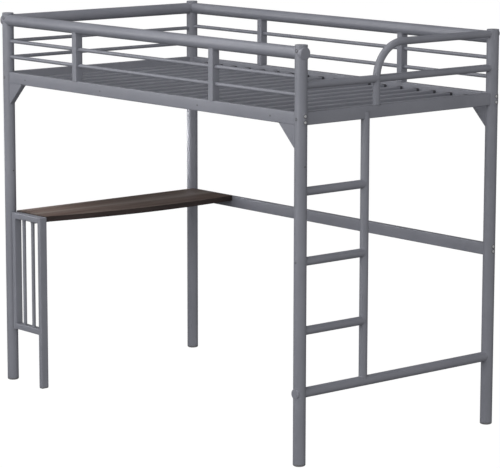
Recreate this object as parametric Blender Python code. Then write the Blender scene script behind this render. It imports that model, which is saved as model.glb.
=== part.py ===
"""Metal loft bed with a narrow desk under one end.

+X runs along the bed towards the ladder, +Y towards the back, +Z is up. The origin is on the
floor under the middle of the bed. Every size is in metres.
"""

import math

import bmesh
import bpy
from mathutils import Vector

# Overall frame: post centres, and the room left between touching pieces.
POST_X = 0.965
POST_Y = 0.519
GAP = 0.0003

# Posts: round tubes with a closed top, standing on plastic glides.
POST_RADIUS = 0.025
POST_WALL = 0.0012
POST_TOP = 1.6417
POST_TOP_WALL = 0.003
POST_CHAMFER = 0.0015
SOCKET_PROUD = 0.0004
GLIDE_HEIGHT = 0.009
GLIDE_ROUNDING = 0.004
SPIGOT_HEIGHT = 0.020
SPIGOT_PLAY = 0.0004

# Top rail and the guard below it.
TOP_RAIL_Z = 1.609
TOP_RAIL_WALL = 0.0012
ROD_RADIUS = 0.008
ROD_WALL = 0.0012
ROD_HEIGHTS = {
    "front": {"upper": 1.5185, "lower": 1.4498},
    "back": {"upper": 1.5258, "lower": 1.4485},
    "left": {"upper": 1.5178, "lower": 1.4473},
}
UPRIGHT_WIDE = 0.029
UPRIGHT_DEEP = 0.036
UPRIGHT_WALL = 0.0012
UPRIGHT_SPACING = 0.9045
UPRIGHT_MIDDLE_X = {"front": -0.0065, "back": -0.0135}

# Deck: box-section rails all round, corner gussets, and slats laid across.
DECK_RAIL_TOP = 1.384
DECK_RAIL_TALL = 0.050
DECK_RAIL_WIDE = 0.025
DECK_RAIL_WALL = 0.0012
BOX_CORNER = 0.003
GUSSET_LEG = 0.090
GUSSET_WALL = 0.002
SLAT_COUNT = 18
SLAT_PITCH = 0.0984
SLAT_WIDE = 0.030
SLAT_TALL = 0.015
SLAT_WALL = 0.001
SLAT_TOP = 1.366

# Ladder end: lower rail, ladder and the grab arch beside the way in.
LOWER_RAIL_Z = 0.2887
LOWER_RAIL_RADIUS = 0.020
LADDER_RADIUS = 0.0172
LADDER_WALL = 0.0012
STILE_Y = -0.184
STILE_TOP = 1.362
RUNG_HEIGHTS = (0.5335, 0.8055, 1.078)
ARCH_RADIUS = 0.015
ARCH_WALL = 0.0012
ARCH_Z = 1.624
ARCH_LEG_Y = -0.126
ENTRY_BAR_Z = 1.486

# Desk: a bowed board between a welded end frame and a rail across the back posts.
DESK_RAIL_TOP = 0.762
BOARD_TOP = 0.766
BOARD_THICK = 0.024
BOARD_LEFT = -0.948
BOARD_RIGHT_FRONT = -0.7275
BOARD_RIGHT_BACK = -0.660
BOARD_BOW = 0.046
BOARD_CORNER = 0.010
BOARD_EDGE = 0.0012
FRAME_TUBE_WIDE = 0.022
FRAME_BAR_TALL = 0.025
FRAME_DEEP = 0.036
FRAME_WALL = 0.0012
FRAME_LEFT = -0.9314
FRAME_RIGHT = -0.7187
FRAME_TOP = 0.762
FRAME_BOTTOM = 0.240
FRAME_ROD_X = (-0.8648, -0.799)
FRAME_SPACER_RADIUS = 0.008
FRAME_SPACER_HEIGHTS = (0.300, 0.700)
LEG_GLIDE_HEIGHT = 0.006
CROSS_BAR_X = -0.830
CROSS_BAR_WIDE = 0.025
CROSS_BAR_TALL = 0.020

# How far a cutting helper runs on past what it cuts, and how round a glide's lower edge is.
OVERRUN = 0.010
GLIDE_EDGE_SHARE = 0.3

# How finely round shapes are divided.
BIG_SIDES = 32
MID_SIDES = 24
ROD_SIDES = 16
CORNER_STEPS = 3
BEND_STEPS = 10

FINISHES = {
    "steel": {"colour": (0.150, 0.153, 0.160), "roughness": 0.42, "metallic": 0.35},
    "board": {"colour": (0.055, 0.040, 0.035), "roughness": 0.50, "metallic": 0.0},
    "glide": {"colour": (0.060, 0.060, 0.064), "roughness": 0.65, "metallic": 0.0},
}

POSTS = {
    "front_left": (-POST_X, -POST_Y),
    "front_right": (POST_X, -POST_Y),
    "back_left": (-POST_X, POST_Y),
    "back_right": (POST_X, POST_Y),
}
SIDES = {"front": -POST_Y, "back": POST_Y}
AXIS_TURN = {"X": (0, math.pi / 2, 0), "Y": (-math.pi / 2, 0, 0), "Z": (0, 0, 0)}


def clear_scene():
    for obj in list(bpy.data.objects):
        bpy.data.objects.remove(obj)


# Outlines, as lists of (x, y) running anticlockwise.


def circle(radius, sides):
    step = 2 * math.pi / sides
    return [(radius * math.cos(i * step), radius * math.sin(i * step)) for i in range(sides)]


def arc(centre, radius, start_degrees, steps):
    """Points of a quarter circle, starting at the given angle."""
    angles = [math.radians(start_degrees + 90 * i / steps) for i in range(steps + 1)]
    return [(centre[0] + radius * math.cos(a), centre[1] + radius * math.sin(a)) for a in angles]


def rounded_box(size_x, size_y, corner):
    inner_x, inner_y = size_x / 2 - corner, size_y / 2 - corner
    centres = [(inner_x, inner_y), (-inner_x, inner_y), (-inner_x, -inner_y), (inner_x, -inner_y)]
    points = []
    for quarter, centre in enumerate(centres):
        points += arc(centre, corner, 90 * quarter, CORNER_STEPS)
    return points


def at_height(outline, z):
    return [Vector((x, y, z)) for x, y in outline]


# Meshes and objects.


def skin(name, loops, cyclic=False):
    """A closed mesh through loops of points. A cyclic one joins its last loop to its first."""
    mesh_data = bmesh.new()
    rings = [[mesh_data.verts.new(point) for point in loop] for loop in loops]
    pairs = list(zip(rings, rings[1:]))
    if cyclic:
        pairs.append((rings[-1], rings[0]))
    else:
        mesh_data.faces.new(reversed(rings[0]))
        mesh_data.faces.new(rings[-1])
    for low, high in pairs:
        count = len(low)
        for i in range(count):
            j = (i + 1) % count
            mesh_data.faces.new((low[i], low[j], high[j], high[i]))
    bmesh.ops.recalc_face_normals(mesh_data, faces=mesh_data.faces)
    mesh = bpy.data.meshes.new(name)
    mesh_data.to_mesh(mesh)
    mesh_data.free()
    mesh.shade_smooth()
    mesh.set_sharp_from_angle(angle=math.radians(35))
    return mesh


def add_object(name, mesh, location=(0, 0, 0), axis="Z"):
    """Links the mesh as an object whose local Z lies along the given world axis."""
    obj = bpy.data.objects.new(name, mesh)
    bpy.context.scene.collection.objects.link(obj)
    obj.location = location
    obj.rotation_euler = AXIS_TURN[axis]
    return obj


def coat(obj, finish):
    values = FINISHES[finish]
    material = bpy.data.materials.new(obj.name)
    material.use_nodes = True
    shader = material.node_tree.nodes["Principled BSDF"]
    shader.inputs["Base Color"].default_value = (*values["colour"], 1)
    shader.inputs["Roughness"].default_value = values["roughness"]
    shader.inputs["Metallic"].default_value = values["metallic"]
    material.diffuse_color = (*values["colour"], 1)
    obj.data.materials.append(material)


def make_part(name, mesh, location=(0, 0, 0), axis="Z", finish="steel"):
    obj = add_object(name, mesh, location, axis)
    obj.parent = bpy.data.objects["loft_bed"]
    coat(obj, finish)
    return obj


def make_helper(name, mesh, location=(0, 0, 0), axis="Z"):
    obj = add_object(name, mesh, location, axis)
    obj.hide_render = True
    obj.display_type = "WIRE"
    return obj


def rod_helper(name, axis, start, length, radius, sides):
    mesh = skin(name, [at_height(circle(radius, sides), z) for z in (0, length)])
    return make_helper(name, mesh, start, axis)


def box_helper(name, low, high):
    outline = [(low[0], low[1]), (high[0], low[1]), (high[0], high[1]), (low[0], high[1])]
    return make_helper(name, skin(name, [at_height(outline, low[2]), at_height(outline, high[2])]))


def combine(obj, operation, *others):
    """Adds a Boolean for each helper object."""
    for other in others:
        modifier = obj.modifiers.new(f"{operation.lower()} {other.name}", "BOOLEAN")
        modifier.operation = operation
        modifier.solver = "EXACT"
        modifier.object = other


def hollow(name, outer, inner, length):
    """A tube between two outlines with equal numbers of points, open at both ends."""
    return skin(
        name,
        [at_height(outer, 0), at_height(outer, length), at_height(inner, length), at_height(inner, 0)],
        cyclic=True,
    )


def round_tube(name, axis, start, length, radius, wall, sides):
    mesh = hollow(name, circle(radius, sides), circle(radius - wall, sides), length)
    return make_part(name, mesh, start, axis)


def box_tube(name, axis, start, length, wide, tall, wall):
    """A box-section tube. On a level one, wide lies flat and tall stands up."""
    size = (tall, wide) if axis == "X" else (wide, tall)
    inner = [side - 2 * wall for side in size]
    mesh = hollow(
        name,
        rounded_box(*size, BOX_CORNER),
        rounded_box(*inner, max(BOX_CORNER - wall, BOX_CORNER / 4)),
        length,
    )
    return make_part(name, mesh, start, axis)


# Cutting shapes, each a little larger than the piece that it makes room for.


def cutter_name(kind, place):
    return f"room_for_{kind}_{place}"


def make_cutters():
    cutters = {}
    for place, (x, y) in POSTS.items():
        name = cutter_name("post", place)
        cutters[name] = rod_helper(
            name, "Z", (x, y, -OVERRUN), POST_TOP + 2 * OVERRUN, POST_RADIUS + GAP, BIG_SIDES
        )
    socket_reach = POST_RADIUS + SOCKET_PROUD + GAP
    for side, y in SIDES.items():
        name = cutter_name("top_rail", side)
        left = -POST_X - socket_reach if side == "front" else -POST_X
        cutters[name] = rod_helper(
            name, "X", (left, y, TOP_RAIL_Z), POST_X - left, POST_RADIUS + GAP, BIG_SIDES
        )
        for level, z in ROD_HEIGHTS[side].items():
            name = cutter_name("rod", f"{side}_{level}")
            cutters[name] = rod_helper(
                name, "X", (-POST_X, y, z), 2 * POST_X, ROD_RADIUS + GAP, ROD_SIDES
            )
    cutters["room_for_arch_socket"] = rod_helper(
        "room_for_arch_socket",
        "Y",
        (POST_X, POST_Y, ARCH_Z),
        socket_reach,
        ARCH_RADIUS + GAP,
        BIG_SIDES,
    )
    cutters["room_for_lower_rail"] = rod_helper(
        "room_for_lower_rail",
        "Y",
        (POST_X, -POST_Y, LOWER_RAIL_Z),
        2 * POST_Y,
        LOWER_RAIL_RADIUS + GAP,
        BIG_SIDES,
    )
    cutters["room_for_stile"] = rod_helper(
        "room_for_stile", "Z", (POST_X, STILE_Y, 0), POST_TOP, LADDER_RADIUS + GAP, MID_SIDES
    )
    cutters["room_for_entry_bar"] = rod_helper(
        "room_for_entry_bar",
        "Y",
        (POST_X, -POST_Y, ENTRY_BAR_Z),
        2 * POST_Y,
        ARCH_RADIUS + GAP,
        MID_SIDES,
    )
    half = DECK_RAIL_WIDE / 2 + GAP
    cutters["room_for_end_rail"] = box_helper(
        "room_for_end_rail",
        (POST_X - half, -POST_Y, DECK_RAIL_TOP - DECK_RAIL_TALL - GAP),
        (POST_X + half, POST_Y, DECK_RAIL_TOP + GAP),
    )
    return cutters


# Posts and feet.


def make_post(place, sockets):
    """A post. Each socket is (axis, sign, height, radius): a welded stub on the post's far side."""
    x, y = POSTS[place]
    layers = [
        at_height(circle(POST_RADIUS, BIG_SIDES), GLIDE_HEIGHT + GAP),
        at_height(circle(POST_RADIUS, BIG_SIDES), POST_TOP - POST_CHAMFER),
        at_height(circle(POST_RADIUS - POST_CHAMFER, BIG_SIDES), POST_TOP),
    ]
    name = f"post_{place}"
    post = make_part(name, skin(name, layers), (x, y, 0))
    reach = POST_RADIUS + SOCKET_PROUD
    for index, (axis, sign, height, radius) in enumerate(sockets):
        start = Vector((x, y, height))
        if sign < 0:
            start["XY".index(axis)] -= reach
        combine(
            post,
            "UNION",
            rod_helper(f"{name}_socket_{index}", axis, start, reach, radius, BIG_SIDES),
        )
    bore = rod_helper(
        f"{name}_bore",
        "Z",
        (x, y, -OVERRUN),
        POST_TOP - POST_TOP_WALL + OVERRUN,
        POST_RADIUS - POST_WALL,
        BIG_SIDES,
    )
    combine(post, "DIFFERENCE", bore)


def make_glide(name, location, outer, spigot, height):
    """A plastic foot: a rounded pad below the tube, and a spigot inside it."""
    rounding = min(GLIDE_ROUNDING, height / 2)
    layers = [
        at_height(outer(rounding), 0),
        at_height(outer(rounding * GLIDE_EDGE_SHARE), rounding * GLIDE_EDGE_SHARE),
        at_height(outer(0), rounding),
        at_height(outer(0), height),
        at_height(spigot, height),
        at_height(spigot, height + SPIGOT_HEIGHT),
    ]
    make_part(name, skin(name, layers), location, finish="glide")


def make_posts():
    socket = POST_RADIUS
    make_post("front_left", [("X", -1, TOP_RAIL_Z, socket)])
    make_post("back_left", [])
    make_post(
        "front_right",
        [("X", 1, TOP_RAIL_Z, socket), ("Y", -1, LOWER_RAIL_Z, LOWER_RAIL_RADIUS)],
    )
    make_post("back_right", [("Y", 1, ARCH_Z, ARCH_RADIUS)])
    spigot = circle(POST_RADIUS - POST_WALL - SPIGOT_PLAY, BIG_SIDES)
    for place, (x, y) in POSTS.items():
        make_glide(
            f"foot_{place}",
            (x, y, 0),
            lambda inset: circle(POST_RADIUS - inset, BIG_SIDES),
            spigot,
            GLIDE_HEIGHT,
        )


# Guard: top rails, rods and uprights.


def make_top_rails(cutters):
    for side, y in SIDES.items():
        rail = round_tube(
            f"top_rail_{side}",
            "X",
            (-POST_X, y, TOP_RAIL_Z),
            2 * POST_X,
            POST_RADIUS,
            TOP_RAIL_WALL,
            BIG_SIDES,
        )
        for end in ("left", "right"):
            combine(rail, "DIFFERENCE", cutters[cutter_name("post", f"{side}_{end}")])
        if side == "back":
            combine(rail, "DIFFERENCE", cutters["room_for_arch_socket"])
    rail = round_tube(
        "top_rail_left",
        "Y",
        (-POST_X, -POST_Y, TOP_RAIL_Z),
        2 * POST_Y,
        POST_RADIUS,
        TOP_RAIL_WALL,
        BIG_SIDES,
    )
    for side in SIDES:
        combine(rail, "DIFFERENCE", cutters[cutter_name("post", f"{side}_left")])
        combine(rail, "DIFFERENCE", cutters[cutter_name("top_rail", side)])


def make_rods(cutters):
    for side, heights in ROD_HEIGHTS.items():
        for level, z in heights.items():
            name = f"guard_rod_{side}_{level}"
            if side == "left":
                axis, start, length = "Y", (-POST_X, -POST_Y, z), 2 * POST_Y
                posts = ("front_left", "back_left")
            else:
                axis, start, length = "X", (-POST_X, SIDES[side], z), 2 * POST_X
                posts = (f"{side}_left", f"{side}_right")
            rod = round_tube(name, axis, start, length, ROD_RADIUS, ROD_WALL, ROD_SIDES)
            for place in posts:
                combine(rod, "DIFFERENCE", cutters[cutter_name("post", place)])


def make_uprights(cutters):
    foot = DECK_RAIL_TOP + GAP
    for side, y in SIDES.items():
        for end, sign in (("left", -1), ("right", 1)):
            upright = box_tube(
                f"guard_upright_{side}_{end}",
                "Z",
                (UPRIGHT_MIDDLE_X[side] + sign * UPRIGHT_SPACING / 2, y, foot),
                TOP_RAIL_Z - foot,
                UPRIGHT_WIDE,
                UPRIGHT_DEEP,
                UPRIGHT_WALL,
            )
            combine(upright, "DIFFERENCE", cutters[cutter_name("top_rail", side)])
            for level in ROD_HEIGHTS[side]:
                combine(upright, "DIFFERENCE", cutters[cutter_name("rod", f"{side}_{level}")])


# Deck: rails, gussets and slats.


def make_deck_rails(cutters):
    middle = DECK_RAIL_TOP - DECK_RAIL_TALL / 2
    section = (DECK_RAIL_WIDE, DECK_RAIL_TALL, DECK_RAIL_WALL)
    for side, y in SIDES.items():
        rail = box_tube(f"side_rail_{side}", "X", (-POST_X, y, middle), 2 * POST_X, *section)
        for end in ("left", "right"):
            combine(rail, "DIFFERENCE", cutters[cutter_name("post", f"{side}_{end}")])
    for end, x in (("left", -POST_X), ("right", POST_X)):
        rail = box_tube(f"end_rail_{end}", "Y", (x, -POST_Y, middle), 2 * POST_Y, *section)
        for side in SIDES:
            combine(rail, "DIFFERENCE", cutters[cutter_name("post", f"{side}_{end}")])


def corner_prism(post_x, sign, y_low, y_high, corner_z, leg, overrun):
    """A triangle in the XZ plane with its right angle up at the post's axis, given depth in Y."""
    reach = POST_RADIUS + leg
    points = [
        (post_x + sign * overrun, corner_z + overrun),
        (post_x - sign * (reach + overrun), corner_z + overrun),
        (post_x + sign * overrun, corner_z - reach - overrun),
    ]
    return [[Vector((x, y, z)) for x, z in points] for y in (y_low, y_high)]


def make_gussets(cutters):
    """Boxed corner plates under the long rails, open towards the rail and the post."""
    corner_z = DECK_RAIL_TOP - DECK_RAIL_TALL - GAP
    half = DECK_RAIL_WIDE / 2
    hollow_leg = GUSSET_LEG - GUSSET_WALL * math.sqrt(2)
    for place, (x, y) in POSTS.items():
        sign = math.copysign(1, x)
        name = f"gusset_{place}"
        solid = corner_prism(x, sign, y - half, y + half, corner_z, GUSSET_LEG, 0)
        inside = corner_prism(
            x, sign, y - half + GUSSET_WALL, y + half - GUSSET_WALL, corner_z, hollow_leg, OVERRUN
        )
        gusset = make_part(name, skin(name, solid))
        inside_name = f"{name}_inside"
        combine(gusset, "DIFFERENCE", make_helper(inside_name, skin(inside_name, inside)))
        combine(gusset, "DIFFERENCE", cutters[cutter_name("post", place)])


def make_slats():
    end = POST_Y - DECK_RAIL_WIDE / 2 - GAP
    first = -SLAT_PITCH * (SLAT_COUNT - 1) / 2
    for index in range(SLAT_COUNT):
        box_tube(
            f"slat_{index + 1:02d}",
            "Y",
            (first + index * SLAT_PITCH, -end, SLAT_TOP - SLAT_TALL / 2),
            2 * end,
            SLAT_WIDE,
            SLAT_TALL,
            SLAT_WALL,
        )


# Ladder end.


def make_ladder(cutters):
    rail = round_tube(
        "lower_end_rail",
        "Y",
        (POST_X, -POST_Y, LOWER_RAIL_Z),
        2 * POST_Y,
        LOWER_RAIL_RADIUS,
        LADDER_WALL,
        BIG_SIDES,
    )
    for side in SIDES:
        combine(rail, "DIFFERENCE", cutters[cutter_name("post", f"{side}_right")])
    stile = round_tube(
        "ladder_stile",
        "Z",
        (POST_X, STILE_Y, LOWER_RAIL_Z),
        STILE_TOP - LOWER_RAIL_Z,
        LADDER_RADIUS,
        LADDER_WALL,
        MID_SIDES,
    )
    combine(stile, "DIFFERENCE", cutters["room_for_lower_rail"], cutters["room_for_end_rail"])
    for index, z in enumerate(RUNG_HEIGHTS):
        rung = round_tube(
            f"ladder_rung_{index + 1}",
            "Y",
            (POST_X, -POST_Y, z),
            STILE_Y + POST_Y,
            LADDER_RADIUS,
            LADDER_WALL,
            MID_SIDES,
        )
        post = cutters[cutter_name("post", "front_right")]
        combine(rung, "DIFFERENCE", post, cutters["room_for_stile"])


def arch_path():
    """(point, direction) along the arch's centre line, from the back post round to the entry bar."""
    radius = ARCH_Z - ENTRY_BAR_Z
    path = [(Vector((POST_X, POST_Y, ARCH_Z)), Vector((0, -1, 0)))]
    for step in range(BEND_STEPS + 1):
        turn = math.pi / 2 * step / BEND_STEPS
        point = Vector(
            (
                POST_X,
                ARCH_LEG_Y + radius - radius * math.sin(turn),
                ENTRY_BAR_Z + radius * math.cos(turn),
            )
        )
        path.append((point, Vector((0, -math.cos(turn), -math.sin(turn)))))
    return path


def swept_loops(path, radius):
    across = Vector((1, 0, 0))
    return [
        [point + x * across + y * direction.cross(across) for x, y in circle(radius, MID_SIDES)]
        for point, direction in path
    ]


def make_entry(cutters):
    path = arch_path()
    loops = swept_loops(path, ARCH_RADIUS) + swept_loops(path, ARCH_RADIUS - ARCH_WALL)[::-1]
    arch = make_part("grab_arch", skin("grab_arch", loops, cyclic=True))
    combine(
        arch,
        "DIFFERENCE",
        cutters[cutter_name("post", "back_right")],
        cutters[cutter_name("top_rail", "back")],
        cutters["room_for_entry_bar"],
    )
    bar = round_tube(
        "entry_bar",
        "Y",
        (POST_X, -POST_Y, ENTRY_BAR_Z),
        2 * POST_Y,
        ARCH_RADIUS,
        ARCH_WALL,
        MID_SIDES,
    )
    for side in SIDES:
        combine(bar, "DIFFERENCE", cutters[cutter_name("post", f"{side}_right")])
    foot = DECK_RAIL_TOP + GAP
    leg = round_tube(
        "entry_leg",
        "Z",
        (POST_X, ARCH_LEG_Y, foot),
        ENTRY_BAR_Z - foot,
        ARCH_RADIUS,
        ARCH_WALL,
        MID_SIDES,
    )
    combine(leg, "DIFFERENCE", cutters["room_for_entry_bar"])


# Desk.


def board_edge_x(y):
    """The board's free edge: a straight line from front to back with an even bow on it."""
    share = (y + POST_Y) / (2 * POST_Y)
    straight = BOARD_RIGHT_FRONT + share * (BOARD_RIGHT_BACK - BOARD_RIGHT_FRONT)
    return straight + BOARD_BOW * math.sin(math.pi * share)


def make_board():
    front = -POST_Y + FRAME_DEEP / 2 + GAP
    back = POST_Y - DECK_RAIL_WIDE / 2 - GAP
    corner = BOARD_CORNER
    low, high = front + corner, back - corner
    left = BOARD_LEFT + corner
    outline = arc((left, low), corner, 180, CORNER_STEPS)
    outline += arc((board_edge_x(low) - corner, low), corner, 270, CORNER_STEPS)
    steps = 2 * BEND_STEPS
    for i in range(1, steps):
        y = low + (high - low) * i / steps
        outline.append((board_edge_x(y), y))
    outline += arc((board_edge_x(high) - corner, high), corner, 0, CORNER_STEPS)
    outline += arc((left, high), corner, 90, CORNER_STEPS)
    layers = [at_height(outline, BOARD_TOP - BOARD_THICK), at_height(outline, BOARD_TOP)]
    board = make_part("desk_board", skin("desk_board", layers), finish="board")
    bevel = board.modifiers.new("eased edges", "BEVEL")
    bevel.width = BOARD_EDGE
    bevel.segments = 2
    bevel.angle_limit = math.radians(60)


def frame_outline(left, right, top, bottom, leg_bottom, bar):
    """The end frame seen from the front: an upright frame whose right-hand bar runs to the floor."""
    return [
        (left, top),
        (left, bottom),
        (right - bar, bottom),
        (right - bar, leg_bottom),
        (right, leg_bottom),
        (right, top),
    ]


def make_end_frame(cutters):
    """The welded frame at the desk's front: leg, two bars, an upright, two rods, two spacers."""
    left, right, wall = FRAME_LEFT, FRAME_RIGHT, FRAME_WALL
    front, back = -POST_Y - FRAME_DEEP / 2, -POST_Y + FRAME_DEEP / 2
    foot = LEG_GLIDE_HEIGHT + GAP
    opening_low, opening_high = FRAME_BOTTOM + FRAME_BAR_TALL, FRAME_TOP - FRAME_BAR_TALL

    outside = frame_outline(left, right, FRAME_TOP, FRAME_BOTTOM, foot, FRAME_TUBE_WIDE)
    loops = [[Vector((x, y, z)) for x, z in outside] for y in (front, back)]
    frame = make_part("desk_end_frame", skin("desk_end_frame", loops))
    window = box_helper(
        "desk_frame_window",
        (left + FRAME_TUBE_WIDE, front - OVERRUN, opening_low),
        (right - FRAME_TUBE_WIDE, back + OVERRUN, opening_high),
    )
    combine(frame, "DIFFERENCE", window)
    for index, x in enumerate(FRAME_ROD_X):
        low, high = opening_low - wall / 2, opening_high + wall / 2
        rod = rod_helper(
            f"desk_frame_rod_{index}", "Z", (x, -POST_Y, low), high - low, ROD_RADIUS, ROD_SIDES
        )
        combine(frame, "UNION", rod)
    for index, z in enumerate(FRAME_SPACER_HEIGHTS):
        spacer = rod_helper(
            f"desk_frame_spacer_{index}",
            "X",
            (-POST_X, -POST_Y, z),
            left + wall / 2 + POST_X,
            FRAME_SPACER_RADIUS,
            ROD_SIDES,
        )
        combine(spacer, "DIFFERENCE", cutters[cutter_name("post", "front_left")])
        combine(frame, "UNION", spacer)

    inside = frame_outline(
        left + wall,
        right - wall,
        FRAME_TOP - wall,
        FRAME_BOTTOM + wall,
        -OVERRUN,
        FRAME_TUBE_WIDE - 2 * wall,
    )
    loops = [[Vector((x, y, z)) for x, z in inside] for y in (front + wall, back - wall)]
    bore = make_helper("desk_frame_bore", skin("desk_frame_bore", loops))
    core = box_helper(
        "desk_frame_core",
        (left + FRAME_TUBE_WIDE - wall, front - OVERRUN, opening_low - wall),
        (right - FRAME_TUBE_WIDE + wall, back + OVERRUN, opening_high + wall),
    )
    combine(bore, "DIFFERENCE", core)
    combine(frame, "DIFFERENCE", bore)

    section = (FRAME_TUBE_WIDE, FRAME_DEEP)
    spigot_x, spigot_y = [side - 2 * (wall + SPIGOT_PLAY) for side in section]
    make_glide(
        "foot_desk_leg",
        (right - FRAME_TUBE_WIDE / 2, -POST_Y, 0),
        lambda inset: rounded_box(*[side - 2 * inset for side in section], BOX_CORNER),
        rounded_box(spigot_x, spigot_y, BOX_CORNER / 2),
        LEG_GLIDE_HEIGHT,
    )


def make_desk(cutters):
    middle = DESK_RAIL_TOP - DECK_RAIL_TALL / 2
    rail = box_tube(
        "desk_back_rail",
        "X",
        (-POST_X, POST_Y, middle),
        2 * POST_X,
        DECK_RAIL_WIDE,
        DECK_RAIL_TALL,
        DECK_RAIL_WALL,
    )
    for end in ("left", "right"):
        combine(rail, "DIFFERENCE", cutters[cutter_name("post", f"back_{end}")])
    make_end_frame(cutters)
    make_board()
    front = -POST_Y + FRAME_DEEP / 2 + GAP
    back = POST_Y - DECK_RAIL_WIDE / 2 - GAP
    bar_z = BOARD_TOP - BOARD_THICK - GAP - CROSS_BAR_TALL / 2
    box_tube(
        "desk_cross_bar",
        "Y",
        (CROSS_BAR_X, front, bar_z),
        back - front,
        CROSS_BAR_WIDE,
        CROSS_BAR_TALL,
        FRAME_WALL,
    )


def main():
    clear_scene()
    root = bpy.data.objects.new("loft_bed", None)
    bpy.context.scene.collection.objects.link(root)
    cutters = make_cutters()
    make_posts()
    make_top_rails(cutters)
    make_rods(cutters)
    make_uprights(cutters)
    make_deck_rails(cutters)
    make_gussets(cutters)
    make_slats()
    make_ladder(cutters)
    make_entry(cutters)
    make_desk(cutters)


main()
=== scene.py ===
"""The looks of the loft bed with desk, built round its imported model.

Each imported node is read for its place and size, and a finer piece stands for it: round tubes with
eased ends, box sections with rolled corners, moulded glides and a grained board. Welds, bolts, saddle
plates, slat holders and plugged holes are added on top.
+X runs along the bed towards the ladder, +Y towards the back, +Z is up, in metres.
"""

import math

import bmesh
import bpy
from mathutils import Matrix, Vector


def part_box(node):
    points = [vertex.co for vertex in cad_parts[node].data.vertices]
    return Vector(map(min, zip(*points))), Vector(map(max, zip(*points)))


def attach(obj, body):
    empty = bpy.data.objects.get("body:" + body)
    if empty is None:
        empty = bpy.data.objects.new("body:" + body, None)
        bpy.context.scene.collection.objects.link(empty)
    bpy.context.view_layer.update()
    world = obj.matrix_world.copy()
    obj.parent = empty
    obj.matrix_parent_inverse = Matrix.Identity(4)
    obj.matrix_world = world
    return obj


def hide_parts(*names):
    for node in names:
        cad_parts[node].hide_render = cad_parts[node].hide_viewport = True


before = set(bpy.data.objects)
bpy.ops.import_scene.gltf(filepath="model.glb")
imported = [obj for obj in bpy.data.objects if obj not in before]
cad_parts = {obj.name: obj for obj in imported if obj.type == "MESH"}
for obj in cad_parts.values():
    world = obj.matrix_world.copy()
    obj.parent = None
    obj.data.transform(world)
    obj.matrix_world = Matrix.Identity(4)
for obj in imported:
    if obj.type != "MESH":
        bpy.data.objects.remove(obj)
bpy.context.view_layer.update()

X, Y, Z = Vector((1, 0, 0)), Vector((0, 1, 0)), Vector((0, 0, 1))
AXES = {"X": X, "Y": Y, "Z": Z}
POSTS = ("front_left", "front_right", "back_left", "back_right")

SLATS = sorted(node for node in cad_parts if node.startswith("slat_"))

POST_SIDES = 96
TUBE_SIDES = 72
ROD_SIDES = 40
BOLT_SIDES = 36
RIVET_SIDES = 24
CORNER_STEPS = 6

SINK = 0.004  # how far a tube's end runs on inside the piece that it meets
HAIR = 0.0001  # keeps one tube's face clear of another's where both have the same size
SEAT = 0.0002  # how far a bolt or a plug is let into the face under it
TUBE_CORNER = 0.0030  # outer corner radii of the box tubes
RAIL_CORNER = 0.0036
SLAT_CORNER = 0.0034
HOLDER_CORNER = 0.0052

CAMERA_PLACE = (7.8968, -6.6907, 2.5226)
CAMERA_TILT = 80.215
CAMERA_TURN = 50.09
CAMERA_LENS = 177.0
CAMERA_SHIFT = (0.0491, -0.0037)
SENSOR_WIDTH = 36
BED_MIDDLE = (0, 0, 0.9)
SURROUND = (("X", 1, 0.80), ("X", -1, 0.12), ("Y", 1, 0.03))  # axis, its sign, strength
STAGE_SIZE = 120

# The desk's end frame and board, which the node boxes alone do not give.
FRAME_WIDE = 0.022
FRAME_TALL = 0.025
FRAME_LEFT = -0.9314
FRAME_BOTTOM = 0.240
FRAME_ROD_X = (-0.8648, -0.7990)
FRAME_SPACER_Z = (0.300, 0.700)
FRAME_ROD_RADIUS = 0.008
BOARD_FRONT_X = -0.7275
BOARD_BACK_X = -0.660
BOARD_BOW = 0.046
BOARD_HALF = 0.519
BOARD_CORNER = 0.004
BOARD_EASE = 0.0016

# Bolts and plugged holes, measured from the rails and posts that they sit on.
SIDE_BOLT_APART = 0.0118
DESK_BOLT_APART = 0.0100
DESK_BOLT_RAISE = 0.004
TOP_BOLT_RAISE = 0.010
BOLT_RADIUS = 0.0062
RAIL_PLUG_X = (-0.825, -0.2855, 0.357, 0.800)
RAIL_PLUG_DROP = 0.002
POST_PLUG_Z = (("front_left", 0.9465), ("front_right", 1.177))
SCREW_X = 0.430


# ---------------------------------------------------------------- camera, lights and stage


def add_camera():
    data = bpy.data.cameras.new("camera")
    data.sensor_width = SENSOR_WIDTH
    data.lens = CAMERA_LENS
    data.shift_x, data.shift_y = CAMERA_SHIFT
    data.clip_end = 300
    camera = bpy.data.objects.new("camera", data)
    camera.location = CAMERA_PLACE
    camera.rotation_euler = (math.radians(CAMERA_TILT), 0, math.radians(CAMERA_TURN))
    bpy.context.scene.collection.objects.link(camera)
    bpy.context.scene.camera = camera


def area_light(name, direction, distance, size, power, target=BED_MIDDLE, spread=180):
    """A square softbox that faces a target, by default the middle of the bed."""
    data = bpy.data.lights.new(name, "AREA")
    data.shape = "SQUARE"
    data.size = size
    data.energy = power
    data.spread = math.radians(spread)
    light = bpy.data.objects.new(name, data)
    toward = Vector(direction).normalized()
    light.location = Vector(target) + toward * distance
    light.rotation_euler = toward.to_track_quat("Z", "Y").to_euler()
    light.visible_camera = False
    bpy.context.scene.collection.objects.link(light)
    return light


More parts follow.
